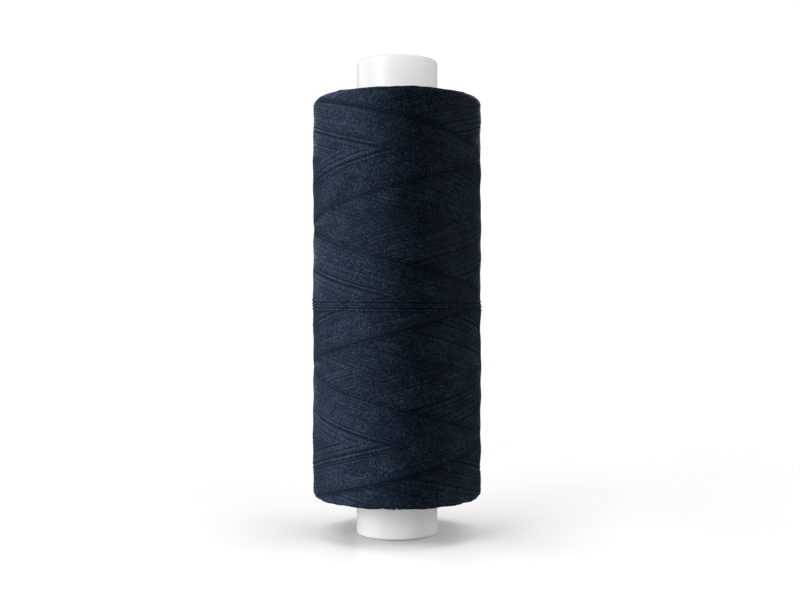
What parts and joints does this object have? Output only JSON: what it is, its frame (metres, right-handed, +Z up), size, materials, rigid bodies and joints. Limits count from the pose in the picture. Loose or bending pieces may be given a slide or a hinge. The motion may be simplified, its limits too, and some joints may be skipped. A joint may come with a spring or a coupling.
{
  "type": "spool of thread",
  "caption": "Straight-tube sewing thread spool standing on end: a white moulded plastic core under a cross-wound cylindrical package of navy thread with round shoulders.",
  "frame": {"origin": "centre of the tube's bottom rim, on the surface that the spool stands on", "axes": "+Z up along the tube; +Y towards the side where the thread's tail is tucked in, and -Y towards the front"},
  "size_m": [0.0314, 0.0314, 0.088],
  "materials": {
    "tube_plastic": "satin",
    "wound_thread": "matte",
    "waist_thread": "matte"
  },
  "bodies": {
    "root": {"core_tube": "tube_plastic", "start_bunch": "wound_thread", "thread_package": "wound_thread", "finishing_wraps": "waist_thread", "thread_tail": "waist_thread"}
  },
  "joints": []
}
